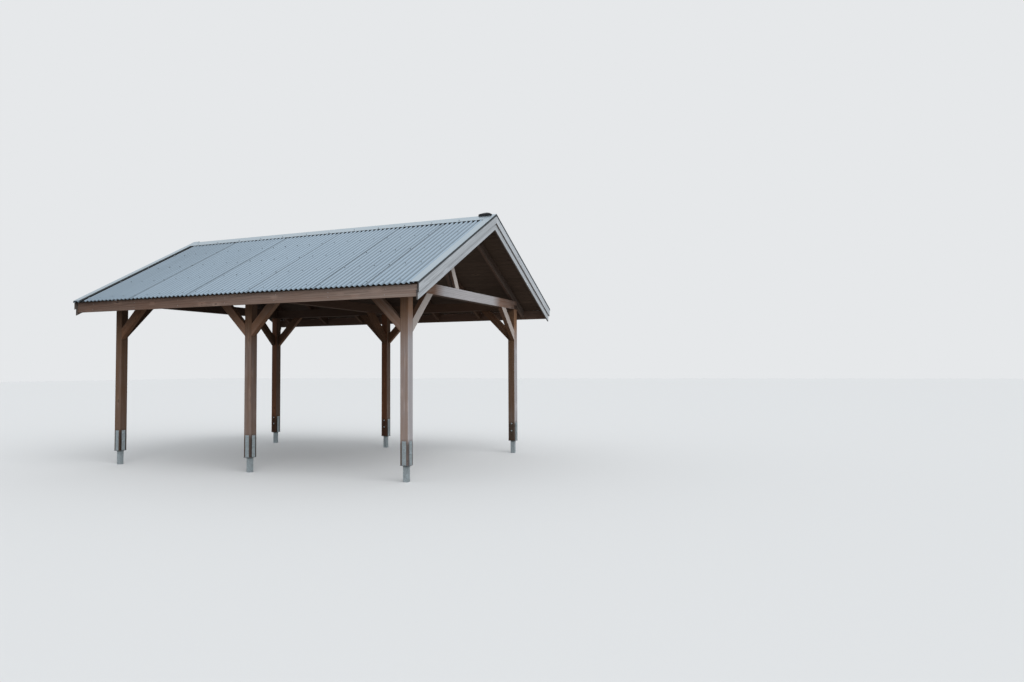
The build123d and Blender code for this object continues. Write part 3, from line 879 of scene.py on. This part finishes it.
class CARPORT_OT_edge_boards(Operator):
    """Fascia and verge boards with their nails"""

    bl_idname = "carport.edge_boards"
    bl_label = "Edge boards"

    def execute(self, context):
        for row in ROWS:
            timber(finish("planed_fascia"), "fascia_timber", f"fascia_{row}", arris=0.0008)
        for deck in ("upper", "lower"):
            for side in GABLES:
                node = f"verge_board_{deck}_{side}"
                timber(finish("planed_verges"), "verge_timber", node, arris=0.002)
        head = [(0.0035, -0.001), (0.0035, 0.0004), (0.0022, 0.0011)]
        bm = bmesh.new()
        chance = random.Random("nails")
        for row, out in ROWS.items():
            low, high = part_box(f"fascia_{row}")
            face = low.y if out < 0 else high.y
            for n in range(RAFTERS):
                for z in (low.z + 0.035, high.z - 0.04):
                    x = RAFTER_START + n * RAFTER_STEP + chance.uniform(-0.012, 0.012)
                    spot = Vector((x, face, z + chance.uniform(-0.006, 0.006)))
                    turned(bm, facing(spot, (0, out, 0)), head, 12)
        first, step = VERGE_NAILS
        for side, out in GABLES.items():
            low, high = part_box(f"verge_board_upper_{side}")
            face = low.x if out < 0 else high.x
            for half in ROWS.values():
                for n in range(5):
                    for level in (-0.012, -0.105):
                        spot = slope_point(face, first + n * step + chance.uniform(-0.01, 0.01), level, half)
                        turned(bm, facing(spot, (out, 0, 0)), head, 12)
        show(bm, "board_nails", [finish("galvanised_shoes")], "verge_timber")
        return {"FINISHED"}


def wave_height(sizes, step, steps):
    """Height of the corrugation at a step, with so many steps in a wave."""
    return sizes.wave_depth / 2 * (1 - math.sin(2 * math.pi * step / steps))


def sheet_skin(bm, layers, side, left, first, last, level, sizes, ends, chance, laps, lip_strips):
    """One corrugated sheet with its real gauge and a faint unevenness, with painted shadow and dirt along its
    laps and a darker strip beside the flashings' lips.
    """
    grain, tone, dirt_and_painted_shade = layers
    steps, stations = 16, 14
    shade, lift = chance.random(), chance.uniform(0, 50)
    near, far = ends
    columns = range(round(first * steps), round(last * steps) + 1)
    skins = []
    for face in (0.0, sizes.sheet_gauge):
        rows = []
        for j in range(stations + 1):
            distance = near + (far - near) * j / stations
            row = []
            for i in columns:
                x = left + i * SHEET_PITCH / steps
                wave = wave_height(sizes, i, steps)
                uneven = 0.0004 * (1 + noise.noise(Vector((x * 2.5, distance * 1.4, lift))))
                vert = bm.verts.new(slope_point(x, distance, level + face + wave + uneven, side))
                vert[grain] = Vector((distance / math.cos(SLOPE), x, wave))
                vert[tone] = shade
                # painted shadow and dirt along the laps, and a darker strip beside the flashings' lips
                dark = 0.0
                for seam in laps:
                    line, spread, depth = SEAMS[seam]
                    dark = max(dark, depth * (1.0 - abs(x - left - line * SHEET_PITCH) / spread))
                streaks = 0.85 + 0.3 * noise.noise(Vector((x * 9, distance * 5, lift)))
                lip_strip = max([0.0] + [depth - abs(x - spot) / 0.032 for spot, depth in lip_strips])
                vert[dirt_and_painted_shade] = min(1.0, max(dark * streaks, lip_strip))
                row.append(vert)
            rows.append(row)
        skins.append(rows)
    under, top = skins
    count = len(columns) - 1
    skin, rims = [], []
    for j in range(stations):
        for i in range(count):
            skin.append((top[j][i], top[j][i + 1], top[j + 1][i + 1], top[j + 1][i]))
            skin.append((under[j][i], under[j + 1][i], under[j + 1][i + 1], under[j][i + 1]))
        for i in (0, count):
            quad = (under[j][i], top[j][i], top[j + 1][i], under[j + 1][i])
            rims.append(quad[::-1] if i else quad)
    for j in (0, stations):
        for i in range(count):
            quad = (under[j][i], under[j][i + 1], top[j][i + 1], top[j][i])
            rims.append(quad[::-1] if j else quad)
    for quads, smooth in ((skin, True), (rims, False)):
        for quad in quads:
            bm.faces.new(quad[::-1] if side < 0 else quad).smooth = smooth


class CARPORT_OT_sheets(Operator):
    """Corrugated sheets, lapped at their sides"""

    bl_idname = "carport.sheets"
    bl_label = "Sheets"

    def execute(self, context):
        sizes = context.scene.carport_sizes
        for row, side in ROWS.items():
            node = f"roof_sheets_{row}"
            low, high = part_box(node)
            waves = round((high.x - low.x) / SHEET_PITCH)
            chance = random.Random(node)
            bm = bmesh.new()
            layers = (
                bm.verts.layers.float_vector.new("grain"),
                bm.verts.layers.float.new("tone"),
                bm.verts.layers.float.new("dirt_and_painted_shade"),
            )
            ends = (SHEET_START, (high.y if side > 0 else -low.y) - SHEET_TRIM)
            edges = [0, *SEAMS, waves]
            lips = zip((low.x, high.x), GABLES.values(), LIP_DARK_STRIPS)
            lip_strips = [(end - out * inset, depth) for end, out, (inset, depth) in lips]
            for number, (first, last) in enumerate(zip(edges, edges[1:])):
                laps = [seam for seam in (first, last) if seam in SEAMS]
                if number % 2 == 0:
                    first, last = max(0, first - 0.5), min(waves, last + 0.5)
                level = SHEET_SEAT + number % 2 * LAP_STEP
                sheet_skin(bm, layers, side, low.x, first, last, level, sizes, ends, chance, laps, lip_strips)
            show(bm, node + "_steel", [finish("zinc_sheets")], "sheet_steel", node)
        return {"FINISHED"}


def wavy_filler(bm, side, left, span, band, wavy, flat, sizes):
    """A strip between a flat face and the sheets' waves, over a band of distances from the ridge."""
    steps = 12
    first = math.ceil((span[0] - left) / SHEET_PITCH * steps)
    last = math.floor((span[1] - left) / SHEET_PITCH * steps)
    rows = []
    for distance in band:
        curved, level = [], []
        for i in range(first, last + 1):
            x = left + i * SHEET_PITCH / steps
            wave = wave_height(sizes, i, steps)
            curved.append(bm.verts.new(slope_point(x, distance, wavy + wave, side)))
            level.append(bm.verts.new(slope_point(x, distance, flat, side)))
        rows.append((curved, level))
    (a, b), (c, d) = rows
    for i in range(len(a) - 1):
        bm.faces.new((a[i], a[i + 1], b[i + 1], b[i]))
        bm.faces.new((c[i], d[i], d[i + 1], c[i + 1]))
        bm.faces.new((b[i], b[i + 1], d[i + 1], d[i]))
        bm.faces.new((a[i], c[i], c[i + 1], a[i + 1]))
    for i in (0, len(a) - 1):
        bm.faces.new((a[i], b[i], d[i], c[i]))


class CARPORT_OT_flashings(Operator):
    """Verge flashings, ridge cap and black strips that close the waves' openings at the cap and the eaves"""

    bl_idname = "carport.flashings"
    bl_label = "Flashings"

    def execute(self, context):
        sizes = context.scene.carport_sizes
        for node in ("verge_flashing_left", "verge_flashing_right", "ridge_cap"):
            steel(finish("zinc_flashings"), "flashing_steel", node, 0.0004, 1.0)
        low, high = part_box("roof_sheets_front")
        cap_low, cap_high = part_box("ridge_cap")
        deck = -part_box("roof_boards_front")[0].y
        bm = bmesh.new()
        # over the sheets at the cap's edges, and under them at the eaves
        strips = (
            ((cap_low.x, cap_high.x), -cap_low.y - 0.004, CAP_FILLER),
            ((low.x, high.x), deck - 0.003, EAVES_FILLER),
        )
        for side in ROWS.values():
            for span, edge, heights in strips:
                wavy_filler(bm, side, low.x, span, (edge, edge - FILLER_WIDTH), *heights, sizes)
        bmesh.ops.recalc_face_normals(bm, faces=bm.faces)
        show(bm, "profile_fillers", [finish("black_rubber")], "flashing_steel")
        return {"FINISHED"}


class CARPORT_OT_roof_screws(Operator):
    """Hexagon screws on rubber washers through the crests and the cap"""

    bl_idname = "carport.roof_screws"
    bl_label = "Roof screws"

    def execute(self, context):
        sizes = context.scene.carport_sizes
        low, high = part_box("roof_sheets_front")
        waves = round((high.x - low.x) / SHEET_PITCH)
        washer = sizes.washer / 2
        head = sizes.screw_head / 2 / math.cos(math.pi / 6)
        rubber = [(washer * 0.93, -0.001), (washer * 0.95, 0.0018)]
        flange = [(washer, 0.0016), (washer * 0.98, 0.0026), (head * 1.2, 0.0042)]
        hexagon = [(head, 0.0040), (head, 0.0082), (head * 0.85, 0.0092)]
        for row, side in ROWS.items():
            chance = random.Random("screws" + row)
            out = Vector((0, side * math.sin(SLOPE), math.cos(SLOPE)))
            bm = bmesh.new()
            spots = []
            for n in range(2, waves - 1, sizes.screw_waves):
                x = low.x + (n + 0.75) * SHEET_PITCH
                spots += [(x, distance, SCREW_SEAT) for distance in SCREW_ROWS]
                if n % 2 == 0:
                    spots.append((x, CAP_SCREWS, CAP_SCREW_SEAT))
            for x, distance, level in spots:
                point = slope_point(
                    x + chance.uniform(-0.003, 0.003), distance + chance.uniform(-0.012, 0.012), level, side
                )
                lean = out + Vector((chance.uniform(-0.06, 0.06), chance.uniform(-0.06, 0.06), 0))
                place = facing(point, lean, chance.uniform(0, 1.0))
                turned(bm, place, rubber, 14, 1)
                turned(bm, place, flange, 14, 0)
                turned(bm, place, hexagon, 6, 0)
            metals = [finish("screw_heads"), finish("black_rubber")]
            show(bm, f"roof_screws_{row}", metals, "sheet_steel")
        return {"FINISHED"}


class CARPORT_OT_vent(Operator):
    """Black hood astride the ridge"""

    bl_idname = "carport.vent"
    bl_label = "Ridge vent"

    def execute(self, context):
        steel(finish("black_vent"), "vent_steel", "ridge_vent", 0.0015)
        return {"FINISHED"}


STEPS = (
    CARPORT_OT_stage,
    CARPORT_OT_posts,
    CARPORT_OT_shoes,
    CARPORT_OT_beams,
    CARPORT_OT_braces,
    CARPORT_OT_rafters,
    CARPORT_OT_boarding,
    CARPORT_OT_edge_boards,
    CARPORT_OT_sheets,
    CARPORT_OT_flashings,
    CARPORT_OT_roof_screws,
    CARPORT_OT_vent,
)


class CARPORT_PT_panel(Panel):
    """Lists the carport's steps, sizes and colours"""

    bl_idname = "CARPORT_PT_panel"
    bl_label = "Carport"
    bl_space_type = "VIEW_3D"
    bl_region_type = "UI"
    bl_category = "Carport"

    def draw(self, context):
        layout = self.layout
        for step in STEPS:
            layout.operator(step.bl_idname)
        for group in (context.scene.carport_sizes, context.scene.carport_colours):
            box = layout.box()
            for key in group.__annotations__:
                box.prop(group, key)


CLASSES = (CarportColours, CarportSizes, *STEPS, CARPORT_PT_panel)


def register():
    for cls in CLASSES:
        bpy.utils.register_class(cls)
    bpy.types.Scene.carport_colours = PointerProperty(type=CarportColours)
    bpy.types.Scene.carport_sizes = PointerProperty(type=CarportSizes)


def unregister():
    del bpy.types.Scene.carport_sizes
    del bpy.types.Scene.carport_colours
    for cls in reversed(CLASSES):
        bpy.utils.unregister_class(cls)


def main():
    """Makes every group of pieces in order."""
    register()
    for step in STEPS:
        area, name = step.bl_idname.split(".")
        getattr(getattr(bpy.ops, area), name)()


if __name__ == "__main__":
    main()
